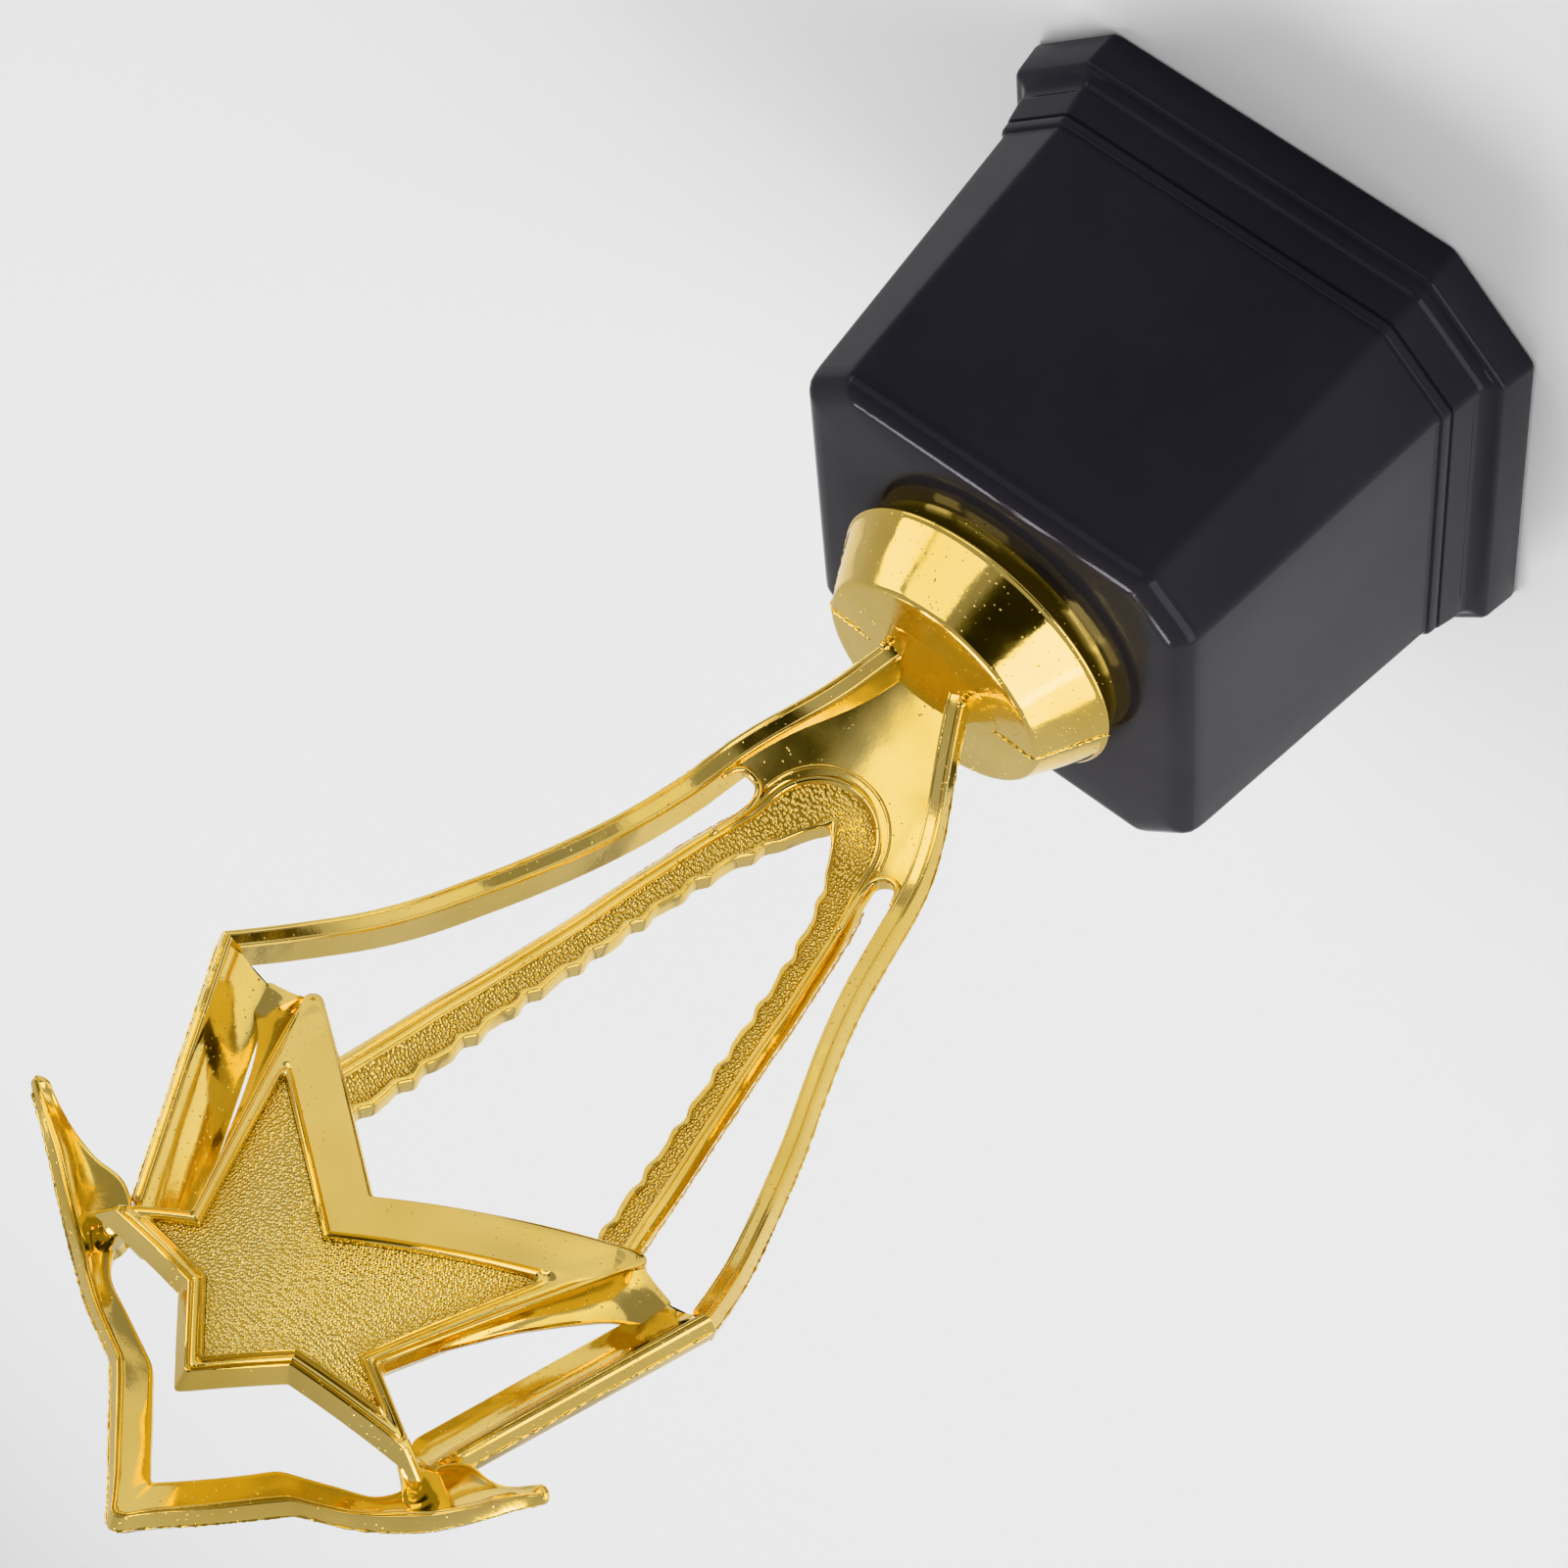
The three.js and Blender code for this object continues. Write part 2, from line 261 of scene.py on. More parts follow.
def bright_gold(name, least, most):
    """Vacuum-plated moulded plastic: gold over a faintly wavy surface with rare pinholes."""
    material, tree, shader = nodes_of(name)
    coords = node(tree, "ShaderNodeTexCoord").outputs["Object"]
    shader.inputs["Metallic"].default_value = 1.0
    tone = noise(tree, coords, 60, 2)
    colour = mix_colour(tree, ramp(tree, tone, 0.35, 0.7, 0, 1), (0.90, 0.68, 0.25), (0.81, 0.58, 0.16))
    tree.links.new(colour, shader.inputs["Base Color"])
    cloudy = noise(tree, coords, 240, 4)
    tree.links.new(ramp(tree, cloudy, 0.35, 0.75, least, most), shader.inputs["Roughness"])
    waves = bump(tree, noise(tree, coords, 90, 2.0), 0.35, 0.0007)
    grain = bump(tree, noise(tree, coords, 1500, 2.0), 0.10, 0.00008, waves)
    pits = node(tree, "ShaderNodeTexVoronoi")
    pits.inputs["Scale"].default_value = 1300
    tree.links.new(coords, pits.inputs["Vector"])
    dots = ramp(tree, pits.outputs["Distance"], 0.03, 0.16, 0, 1)
    patch = ramp(tree, noise(tree, coords, 75, 2), 0.40, 0.52, 0, 1)
    masked = node(tree, "ShaderNodeMath", operation="MULTIPLY")
    inverse = node(tree, "ShaderNodeMath", operation="SUBTRACT")
    inverse.inputs[0].default_value = 1.0
    tree.links.new(dots, inverse.inputs[1])
    tree.links.new(inverse.outputs[0], masked.inputs[0])
    tree.links.new(patch, masked.inputs[1])
    speckled = bump(tree, masked.outputs[0], 0.8, 0.0001, grain)
    tree.links.new(speckled, shader.inputs["Normal"])
    return material


def pebbled_gold(name="pebbled_gold"):
    """The same plating over a pebbled field of grains about half a millimetre across."""
    material, tree, shader = nodes_of(name)
    coords = node(tree, "ShaderNodeTexCoord").outputs["Object"]
    shader.inputs["Metallic"].default_value = 1.0
    split = tree.nodes.new("ShaderNodeSeparateXYZ")
    flat = tree.nodes.new("ShaderNodeCombineXYZ")
    tree.links.new(coords, split.inputs[0])
    tree.links.new(split.outputs["X"], flat.inputs["X"])
    tree.links.new(split.outputs["Z"], flat.inputs["Y"])
    cells = node(tree, "ShaderNodeTexVoronoi", voronoi_dimensions="2D")
    cells.inputs["Scale"].default_value = 2300
    cells.inputs["Randomness"].default_value = 0.8
    tree.links.new(flat.outputs[0], cells.inputs["Vector"])
    squared = node(tree, "ShaderNodeMath", operation="POWER")
    squared.inputs[1].default_value = 2.0
    tree.links.new(cells.outputs["Distance"], squared.inputs[0])
    height = ramp(tree, squared.outputs[0], 0.0, 0.36, 1, 0)
    # Painted highlight and shade: the colour follows each grain's height, paler on its top as a painted sparkle and
    # darker in the hollows between grains as painted shade.
    colour = mix_colour(tree, height, (0.74, 0.51, 0.12), (1.0, 0.80, 0.34))
    tree.links.new(colour, shader.inputs["Base Color"])
    tree.links.new(ramp(tree, noise(tree, coords, 500, 3), 0.3, 0.7, 0.16, 0.26), shader.inputs["Roughness"])
    grains = bump(tree, height, 1.0, 0.00016)
    fine = bump(tree, noise(tree, coords, 4200, 2), 0.2, 0.00004, grains)
    tree.links.new(fine, shader.inputs["Normal"])
    return material


def black_plastic(name="black_plastic"):
    """Moulded black plastic: satin gloss with a faint orange peel and soft handling haze."""
    material, tree, shader = nodes_of(name)
    coords = node(tree, "ShaderNodeTexCoord").outputs["Object"]
    haze = noise(tree, coords, 35, 4)
    colour = mix_colour(tree, ramp(tree, haze, 0.3, 0.7, 0, 1), (0.051, 0.0498, 0.0545), (0.060, 0.0588, 0.064))
    tree.links.new(colour, shader.inputs["Base Color"])
    tree.links.new(ramp(tree, noise(tree, coords, 55, 5, 0.6), 0.3, 0.7, 0.09, 0.16), shader.inputs["Roughness"])
    shader.inputs["IOR"].default_value = 1.2
    shader.inputs["Specular Tint"].default_value = (0.86, 0.81, 1.0, 1)
    peel = bump(tree, noise(tree, coords, 900, 2), 0.12, 0.00006)
    swirl = bump(tree, noise(tree, coords, 70, 2), 0.10, 0.0004, peel)
    tree.links.new(swirl, shader.inputs["Normal"])
    return material


def zinc(name="zinc_steel"):
    """Zinc-plated steel with a faint grain."""
    material, tree, shader = nodes_of(name)
    coords = node(tree, "ShaderNodeTexCoord").outputs["Object"]
    shader.inputs["Metallic"].default_value = 1.0
    colour = mix_colour(tree, noise(tree, coords, 700, 3), (0.50, 0.50, 0.52), (0.68, 0.68, 0.70))
    tree.links.new(colour, shader.inputs["Base Color"])
    tree.links.new(ramp(tree, noise(tree, coords, 1500, 3), 0.3, 0.7, 0.25, 0.42), shader.inputs["Roughness"])
    tree.links.new(bump(tree, noise(tree, coords, 2600, 2), 0.2, 0.00005), shader.inputs["Normal"])
    return material


GOLD = bright_gold("plated_gold", 0.08, 0.17)
SATIN_GOLD = bright_gold("plated_gold_satin", 0.21, 0.30)
PEBBLED = pebbled_gold()
BLACK = black_plastic()
ZINC = zinc()

# ---------------------------------------------------------------- base

# Levels of the base from the bottom edge up: height, half width, corner chamfer, corner radius.
BASE_PROFILE = [
    (0.0, 34.6, 11.3, 1.2), (0.35, 34.95, 11.4, 1.3), (0.8, 35.0, 11.4, 1.3), (4.5, 34.4, 10.7, 1.3),
    (4.95, 34.2, 10.6, 1.3), (5.12, 33.9, 10.4, 1.3), (5.2, 33.6, 10.2, 1.4), (5.35, 33.0, 9.8, 1.5),
    (5.75, 32.55, 9.5, 1.6), (6.3, 32.15, 9.2, 1.6), (6.85, 31.98, 9.05, 1.6), (7.1, 32.0, 9.05, 1.6),
    (7.3, 31.93, 9.0, 1.6), (9.6, 31.5, 8.95, 1.6), (9.85, 31.42, 8.93, 1.6), (9.98, 31.1, 8.8, 1.6),
    (10.12, 31.1, 8.8, 1.6), (10.25, 31.28, 8.85, 1.6), (10.55, 31.26, 8.82, 1.6), (11.15, 31.16, 8.75, 1.6),
    (11.35, 31.05, 8.7, 1.6), (11.48, 30.72, 8.5, 1.6), (11.62, 30.72, 8.5, 1.6), (11.78, 30.62, 8.4, 1.7),
    (12.2, 30.56, 8.3, 1.8), (20.0, 29.85, 7.9, 2.0), (30.0, 28.95, 7.4, 2.1), (40.0, 28.05, 6.85, 2.2),
    (47.6, 27.36, 6.45, 2.2), (48.6, 27.22, 6.4, 2.2), (49.5, 26.98, 6.3, 2.1), (50.25, 26.5, 6.1, 2.0),
    (50.8, 25.85, 5.85, 1.8), (51.1, 25.1, 5.6, 1.6), (51.2, 24.2, 5.3, 1.4),
]

# The same along the inside, from the middle of the ceiling down to the bottom edge.
BASE_INSIDE = [
    (48.9, 3.0, 0.7), (48.9, 24.4, 4.6), (47.4, 25.1, 5.0), (12.0, 28.3, 7.1), (4.6, 32.0, 9.4), (0.15, 32.75, 10.1),
    (0.0, 32.95, 10.2),
]
BASE_INSIDE_RADIUS = 1.5


def octagon(z, half, chamfer, radius, arc=6, side=7):
    """A level of the base: rounded corners, and points along the flats so that they stay true."""
    b = half - chamfer
    corners = [(half, -b), (half, b), (b, half), (-b, half), (-half, b), (-half, -b), (-b, -half), (b, -half)]
    arcs = rounded([(x, y, radius) for x, y in corners], arc)
    ring = []
    for i in range(8):
        own = arcs[i * (arc + 1):(i + 1) * (arc + 1)]
        after = arcs[((i + 1) % 8) * (arc + 1)]
        ring += own
        ring += [tuple(np.array(own[-1]) + (np.array(after) - own[-1]) * k / side) for k in range(1, side)]
    return [(x, y, z) for x, y in ring]


def base_body():
    """Closed shell of the base: up the outside, over the top, and down the inside."""
    outside = [octagon(*level) for level in BASE_PROFILE]
    height, half, chamfer, radius = BASE_PROFILE[-1]
    top = [octagon(height, half * s, chamfer * s, radius * s) for s in (0.85, 0.6, 0.35, 0.12)]
    inside = [octagon(*level, BASE_INSIDE_RADIUS) for level in BASE_INSIDE]
    return loft("base_body", [*outside, *top, *inside], [BLACK], closed=True, place=world, sharp=38)


base = base_body()
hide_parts("base_shell")

# ---------------------------------------------------------------- collar

# Radius and height, from the middle of the top over the rolled rim and the neck to the screw's boss inside.
COLLAR_PROFILE = [
    (0.02, 62.05), (6.0, 62.05), (11.0, 62.05), (13.6, 62.03), (14.3, 61.98), (14.62, 61.85), (14.82, 61.6),
    (15.0, 61.2), (16.2, 59.0), (17.45, 56.6), (18.45, 54.75), (18.6, 54.5), (18.78, 54.42), (18.9, 54.28),
    (18.92, 54.08), (18.84, 53.88), (18.66, 53.78), (18.3, 53.74), (17.95, 53.6), (17.68, 53.3),
    (17.52, 52.9), (17.45, 52.2), (17.42, 51.6), (17.5, 51.3), (17.5, 51.2),
    (15.9, 51.2), (15.8, 54.0), (13.0, 59.9), (6.2, 60.0), (6.2, 51.3), (1.9, 51.3), (1.9, 59.5), (0.02, 59.5),
]

collar = loft("collar_turned", lathe(COLLAR_PROFILE), [GOLD], place=world, sharp=40)
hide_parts("collar")

# The low mound that the ribs stand on: half sizes, depth of its middle, height at its edge, rise.
MOUND_X, MOUND_Y, MOUND_MIDDLE, MOUND_EDGE, MOUND_RISE = 11.3, 9.6, 1.6, 62.04, 0.75


def foot_mound():
    rings = []
    for s in (1.04, 1.0, 0.92, 0.82, 0.72, 0.62, 0.52, 0.42, 0.32, 0.22, 0.12):
        height = 61.9 if s > 1 else MOUND_EDGE + MOUND_RISE * ((1 - s) / 0.88) ** 1.4
        rx, ry = MOUND_X * s, MOUND_Y * s
        rings.append([(rx * math.cos(a), MOUND_MIDDLE + ry * math.sin(a), height) for a in around(72)])
    return rings


mound = foot_mound()
loft("foot_mound", mound, [GOLD], sharp=60)

# ---------------------------------------------------------------- ribs

# Ridge of a rib: height, half distance, depth.
RIB = curve([
    (61.0, 4.9, -3.4), (63.0, 5.7, -2.5), (65.0, 6.7, -0.9), (67.5, 8.0, 1.2), (70, 9.4, 3.0), (73, 11.1, 4.7),
    (76, 12.5, 5.8), (79, 13.6, 6.6), (82, 14.35, 7.1), (85, 14.95, 7.35), (88, 15.6, 7.3), (94, 17.1, 6.9),
    (100, 19.1, 6.5), (106, 21.5, 6.1), (112, 24.05, 5.4), (118, 26.4, 3.9), (124, 28.8, 1.2),
    (130, 31.2, -2.8), (134, 32.6, -6.0), (138.2, 34.0, -9.7),
])

# Section about the ridge: outward, backward, corner radius.
RIB_SECTION = [
    (0.4, 5.7, 0.3), (0.93, 2.05, 0.06), (0.28, 0.3, 0.2), (0.08, -0.06, 0.16), (-0.22, -0.02, 0.12),
    (-0.38, 0.26, 0.06), (-0.54, 0.16, 0.1), (-1.62, 0.86, 0.3), (-1.78, 0.74, 0.08), (-1.98, 0.8, 0.12),
    (-2.1, 1.2, 0.2), (-2.35, 5.4, 0.3), (-1.9, 5.9, 0.3), (0.1, 6.0, 0.3),
]


def rib_rings(side):
    shape = rounded(RIB_SECTION, 5)
    rings = []
    for z in steps(61.2, 138.2, 90):
        x, y = RIB(z)
        rings.append([(side * (x + a), y + b, z) for a, b in shape])
    return rings


for side, name in SIDES:
    rib = loft("frame_rib_" + name, rib_rings(side), [GOLD])
    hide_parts("rib_" + name)

# ---------------------------------------------------------------- web and textured band

# The front of the figure is cupped: depth of its middle by height, and how fast the sides come forward.
CUP = 0.0225
BAND_CENTRE = curve([
    (61, 3.0), (62.2, 3.6), (66, 5.6), (70, 7.5), (73, 8.8), (76, 10.2), (79, 11.4), (82, 12.2), (85, 12.6),
    (90, 12.7), (142, 12.7),
])


def cupped(x, z):
    return BAND_CENTRE(z) - CUP * x * x


ARCH_RADIUS, ARCH_HEIGHT = 7.9, 80.9
# Half distance of the band's edges by height.
BAND_OUTER = curve([
    (80.9, 7.9), (83, 8.25), (85.3, 8.95), (88, 9.65), (94, 10.9), (100, 12.1), (106, 13.1), (112, 14.3),
    (118, 15.5), (124, 16.8), (130, 17.95), (141, 20.1),
])
BAND_INNER = curve([
    (78.1, 0.0), (79.5, 1.2), (82, 2.75), (85.3, 4.6), (89.5, 6.1), (94, 7.2), (99, 8.2), (105, 9.25), (117, 11.45),
    (129, 13.35), (141, 15.4),
])
BAND_TOP, BAND_MEETING = 141, 79.0
# Two waves make the uneven scallops of the inner edge.
SCALLOP, SCALLOP_DEPTH = 4.6, 0.21
RIPPLE, RIPPLE_DEPTH = 2.9, 0.09


def band_edges():
    """Points (x, z) along the band's outer and inner edges, from the right top, round the arch, to the left top."""
    outer, inner = [], []
    for z in steps(BAND_TOP, ARCH_HEIGHT, 150):
        outer.append((BAND_OUTER(z), z))
        zi = BAND_MEETING + (z - ARCH_HEIGHT) * (BAND_TOP - BAND_MEETING) / (BAND_TOP - ARCH_HEIGHT)
        scallop = SCALLOP_DEPTH * math.sin(2 * math.pi * zi / SCALLOP)
        ripple = RIPPLE_DEPTH * math.sin(2 * math.pi * zi / RIPPLE + 1)
        inner.append((BAND_INNER(zi) + (scallop + ripple - 0.15) * smoothstep((zi - 81) / 4), zi))
    for a in steps(0, -math.pi / 2, 26)[1:]:
        outer.append((ARCH_RADIUS * math.cos(a), ARCH_HEIGHT + ARCH_RADIUS * math.sin(a)))
        f = 1 + a / (math.pi / 2)
        z = 78.1 + 0.9 * f * f
        inner.append((max(BAND_INNER(z) * f, 0.0), z))
    outer += [(-x, z) for x, z in reversed(outer[:-1])]
    inner += [(-x, z) for x, z in reversed(inner[:-1])]
    return outer, inner


# Section of the band: distance in from the outer edge and depth, then the same from the inner edge.
OUTER_BORDER = [
    (-0.6, 3.2), (-1.0, 1.8), (-0.95, 1.65), (-0.16, 0.3), (0.03, 0.05), (0.25, 0.0), (0.4, 0.12), (0.5, 0.28),
    (0.6, 0.14), (0.75, 0.02), (1.05, 0.02), (1.2, 0.15), (1.3, 0.45),
]
INNER_BORDER = [
    (0.82, 0.45), (0.74, 0.2), (0.62, 0.08), (0.3, 0.04), (0.08, 0.14), (0.0, 0.45), (0.0, 1.5), (0.15, 3.0),
]
FIELD_SHARES, FIELD_DEPTH = (0.33, 0.5, 0.67), 0.5
# The borders are squeezed where the band is narrower than this.
FULL_BORDERS = 3.0


def band():
    """Sections of the textured band: a raised border along each edge and the sunk field between them."""
    outer, inner = band_edges()
    first, last = OUTER_BORDER[-1][0], INNER_BORDER[0][0]
    rings = []
    for (ox, oz), (ix, iz) in zip(outer, inner):
        direction = np.array([ix - ox, iz - oz])
        width = np.linalg.norm(direction)
        direction /= width
        squeeze = min(1.0, width / FULL_BORDERS)
        ring = []
        for d, depth in OUTER_BORDER:
            x, z = np.array([ox, oz]) + direction * d * squeeze
            ring.append((x, cupped(x, z) + depth, z))
        for share in FIELD_SHARES:
            x, z = np.array([ox, oz]) + direction * (first * squeeze + (width - (first + last) * squeeze) * share)
            ring.append((x, cupped(x, z) + FIELD_DEPTH, z))
        for d, depth in INNER_BORDER:
            x, z = np.array([ix, iz]) - direction * d * squeeze
            ring.append((x, cupped(x, z) + depth, z))
        rings.append(ring)
    return rings


# The strips between the two borders are pebbled.
field_start = len(OUTER_BORDER) - 1
field_end = field_start + len(FIELD_SHARES)
strips = len(OUTER_BORDER) + len(FIELD_SHARES) + len(INNER_BORDER)
paint = [1 if field_start <= j <= field_end else 0 for j in range(strips)]
bands = loft("textured_band", band(), [GOLD, PEBBLED], paint, sharp=50)
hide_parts("band_left", "band_right")

# Bottom edge of the slots between band and rib, height by half distance.
SLOT_FLOOR = curve([(7.9, 81.1), (8.4, 80.35), (9.2, 79.8), (10.2, 79.62), (11.2, 79.85), (11.9, 80.6)])
# Height of the web's foot, its thickness, and the half distance that its top edge spans.
WEB_FOOT, WEB_THICKNESS, WEB_HALF_TOP = 61.6, 2.7, 11.6


def panel():
    """Smooth web between the ribs' feet, up to the arch and the slot ends."""
    def top(x):
        a = abs(x)
        if a < ARCH_RADIUS:
            return ARCH_HEIGHT - math.sqrt(ARCH_RADIUS ** 2 - a * a) + 0.25
        return SLOT_FLOOR(a)

    def half_width(z):
        x, _ = RIB(z)
        return x - 1.9

    columns = steps(-1, 1, 61)
    rows = steps(0, 1, 36)
    vertices, faces = [], []
    for depth in (0.0, WEB_THICKNESS):
        for u in columns:
            z1 = top(u * WEB_HALF_TOP)
            for v in rows:
                z = WEB_FOOT + (z1 - WEB_FOOT) * v
                x = u * half_width(z)
                vertices.append((x, cupped(x, z) + depth, z))
    n, m = len(columns), len(rows)

    def at(k, i, j):
        return k * n * m + i * m + j

    for k in (0, 1):
        for i in range(n - 1):
            faces += [(at(k, i, j), at(k, i + 1, j), at(k, i + 1, j + 1), at(k, i, j + 1)) for j in range(m - 1)]
    edge = [(i, 0) for i in range(n)] + [(n - 1, j) for j in range(1, m)]
    edge += [(i, m - 1) for i in range(n - 2, -1, -1)] + [(0, j) for j in range(m - 2, 0, -1)]
    for (i, j), (p, q) in zip(edge, edge[1:] + edge[:1]):
        faces.append((at(0, i, j), at(0, p, q), at(1, p, q), at(1, i, j)))
    return build("web_between_ribs", vertices, faces, [SATIN_GOLD])


def path_frames(path):
    """For each point of a path: the point, the directions along and across it, and whether it is an end."""
    path = np.array(path)
    last = len(path) - 1
    for i, p in enumerate(path):
        along = path[min(i + 1, last)] - path[max(i - 1, 0)]
        along /= np.linalg.norm(along)
        across = np.cross(along, (0, 1, 0))
        across /= np.linalg.norm(across)
        yield p, along, across, i in (0, last)


def tube(name, path, radius, material, place=figure, sides=8):
    """A bead along a path of points, tapered at its ends."""
    rings = []
    for p, along, across, is_end in path_frames(path):
        out = np.cross(along, across)
        k = radius * (0.35 if is_end else 1.0)
        rings.append([tuple(p + k * (math.cos(a) * across + math.sin(a) * out)) for a in around(sides)])
    return loft(name, rings, [material], place=place, sharp=80)


# Beads round the slot ends (half distance and height) and along the arch.
SLOT_RIM = curve([
    (0, 9.35, 88), (1, 8.75, 85.5), (2, 8.3, 83.2), (3, 8.2, 81.8), (4, 8.5, 80.6), (5, 9.2, 79.95),
    (6, 10.2, 79.75), (7, 11.2, 80.05), (8, 11.9, 80.9), (9, 12.5, 82.6),
])
for side, name in SIDES:
    path = [(side * x, cupped(x, z) + 0.15, z) for x, z in (SLOT_RIM(t) for t in steps(0, 9, 46))]
    tube("slot_rim_" + name, path, 0.42, GOLD)

bead_radius = ARCH_RADIUS * 1.045
arch = [(bead_radius * math.sin(a), ARCH_HEIGHT - bead_radius * math.cos(a)) for a in steps(-1.45, 1.45, 60)]
tube("arch_rim", [(x, cupped(x, z) + 0.02, z) for x, z in arch], 0.26, GOLD)

web = panel()
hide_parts("web_panel")

# ---------------------------------------------------------------- posts

# Ends of the ridge: half distance, depth, height.
POST_FOOT, POST_HEAD = (34.0, -9.7, 138.2), (19.5, -1.2, 172.2)
# Section about the ridge: outward, backward, corner radius.
POST_SECTION = [
    (0.5, 4.9, 0.4), (0.93, 2.05, 0.06), (0.28, 0.3, 0.2), (0.08, -0.06, 0.16), (-0.22, -0.02, 0.12),
    (-0.38, 0.3, 0.06), (-0.56, 0.08, 0.1), (-0.84, 0.16, 0.1),
    *arc_between((-1.0, 0.42), (-2.4, 4.2), (-6.3, 5.75), 14), (-6.5, 5.85, 0.12), (-6.35, 6.45, 0.3),
    (-4.6, 7.5, 0.6), (0.3, 5.6, 0.5),
]


def post_ridge(z):
    """Half distance and depth of the post's ridge at a height."""
    t = (z - POST_FOOT[2]) / (POST_HEAD[2] - POST_FOOT[2])
    return [POST_FOOT[i] + (POST_HEAD[i] - POST_FOOT[i]) * t for i in (0, 1)]


def post(side):
    """The post, whose head narrows and sinks back into the root of the wing."""
    rings = []
    shape = rounded(POST_SECTION, 5)
    for z in steps(138.2, 168.8, 75):
        x, y = post_ridge(z)
        narrow = smoothstep((z - 164.2) / 5.0)
        sink = smoothstep((z - 164.8) / 1.6)
        ring = []
        for a, b in shape:
            a *= 1 - 0.66 * narrow if a < 0 else 1 - sink
            b = max(b, 0.5 * sink) * (1 - 0.6 * narrow)
            ring.append((side * (x + a - 0.3 * sink), y + b + 0.4 * sink, z))
        rings.append(ring)
    return rings


for side, name in SIDES:
    post_piece = loft("frame_post_" + name, post(side), [GOLD], sharp=45)
    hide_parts("post_" + name)

# ---------------------------------------------------------------- crown with its wings

# Edges of the bar from the top (0) to the wing's tip (10): half distance and height.
CROWN_OUTER = curve([
    (0, 0.0, 193.5), (0.2, 0.7, 193.2), (0.5, 1.75, 192.0), (1, 3.2, 190.35), (2, 6.5, 186.85), (3, 10.0, 183.05),
    (3.7, 12.4, 180.45), (4, 13.35, 179.5), (4.3, 14.8, 178.8), (5, 18.8, 177.0), (6, 22.3, 174.9),
    (6.4, 23.4, 174.2), (6.7, 24.3, 173.6), (7, 25.3, 172.95), (7.3, 26.4, 172.2), (8, 28.9, 170.45),
    (9, 32.4, 168.0), (9.7, 35.0, 166.35), (10, 35.75, 165.75),
])
CROWN_INNER = curve([
    (0, 0.0, 186.95), (0.2, 0.35, 186.7), (0.5, 0.85, 186.15), (1, 1.9, 185.05), (2, 4.3, 182.35), (3, 6.85, 179.55),
    (3.7, 8.3, 177.95), (4, 9.0, 177.3), (4.3, 10.2, 176.75), (5, 14.6, 174.95), (6, 19.3, 172.6),
    (6.4, 20.5, 170.8), (6.7, 21.1, 168.6), (7, 22.0, 166.3), (7.3, 23.7, 165.0), (8, 27.6, 165.35),
    (9, 31.5, 165.15), (9.7, 33.5, 164.65), (10, 34.1, 164.4),
])
# Depth of the ridge by half distance.
RIDGE_DEPTH = curve([
    (0, -2.8), (3, -2.3), (6, -1.7), (9, -1.45), (12.5, -1.45), (16, -1.75), (18.5, -2.2), (22, -3.0), (25, -4.4),
    (28, -7.1), (31, -10.3), (33.5, -13.6), (35.7, -15.6),
])
# Along the bar: how far the inner edge and the middle of the face lie behind the ridge, and the depth of the back.
CROWN_FACE = curve([
    (0, 1.25, 0.7, 4.4), (2, 0.9, 0.55, 4.4), (4, 0.6, 0.5, 4.4), (5.4, 0.8, 0.8, 4.4), (6.2, 1.0, 1.1, 4.5),
    (7, 1.2, 1.35, 4.6), (8, 1.3, 1.4, 4.3), (9, 1.1, 1.1, 3.4), (9.7, 0.9, 0.8, 2.8), (10, 0.8, 0.6, 2.6),
])


def crown_section(t, side):
    """Section of the crown's bar: back wall, rounded outer border with its groove, sunk face, inner edge."""
    outer, inner = CROWN_OUTER(t), CROWN_INNER(t)
    span = float(np.linalg.norm(inner - outer))
    e = (inner - outer) / span
    ridge = RIDGE_DEPTH(outer[0] + e[0] * 0.9)
    face, sag, back = CROWN_FACE(t)
    k = min(1.0, span / 4.0)
    wall = min(2.1, back * 0.48)
    start = 1.85 * k
    shape = [
        (0.0, wall, 0.25), (0.95 * k, 0.05, 0.22), (1.12 * k, -0.02, 0.1), (1.32 * k, 0.3, 0.06), (1.5 * k, 0.06, 0.1),
        (1.72 * k, 0.2, 0.1), *arc_between((start, 0.34), (start + (span - start) * 0.5, sag), (span - 0.3, face), 9),
        (span - 0.08, face + 0.12, 0.12), (span, min(face + 0.9, back - 0.3), 0.3),
        (span - 0.35 * k, back - 0.15, 0.35), (span * 0.55, back + 0.1, 0.5), (0.75 * k, back - 0.2, 0.4),
    ]
    ring = np.array([(outer[0] + e[0] * u, ridge + v, outer[1] + e[1] * u) for u, v in rounded(shape, 3)])
    soft = 0.45 * smoothstep((t - 9.3) / 0.7)
    if soft:
        # Towards the tip the section grows rounder.
        centre = ring.mean(axis=0)
        arms = ring - centre
        lengths = np.linalg.norm(arms, axis=1, keepdims=True)
        ring = centre + arms * (lengths.mean() / lengths) ** soft
    ring[:, 0] *= side
    return [tuple(p) for p in ring]


# Rounded end of a wing: size of each ring, and how far it stands out beyond the last section.
WING_TIP = ((0.2, 0.62), (0.42, 0.57), (0.64, 0.48), (0.82, 0.34), (0.93, 0.19), (0.985, 0.08))
TIP_DIRECTION = np.array((1, -0.3, -0.7))
# Sections of the wing that are smoothed together, counted from its tip.
SMOOTHED = 85


def mirrored(rings):
    return [[(-x, y, z) for x, y, z in ring] for ring in rings]


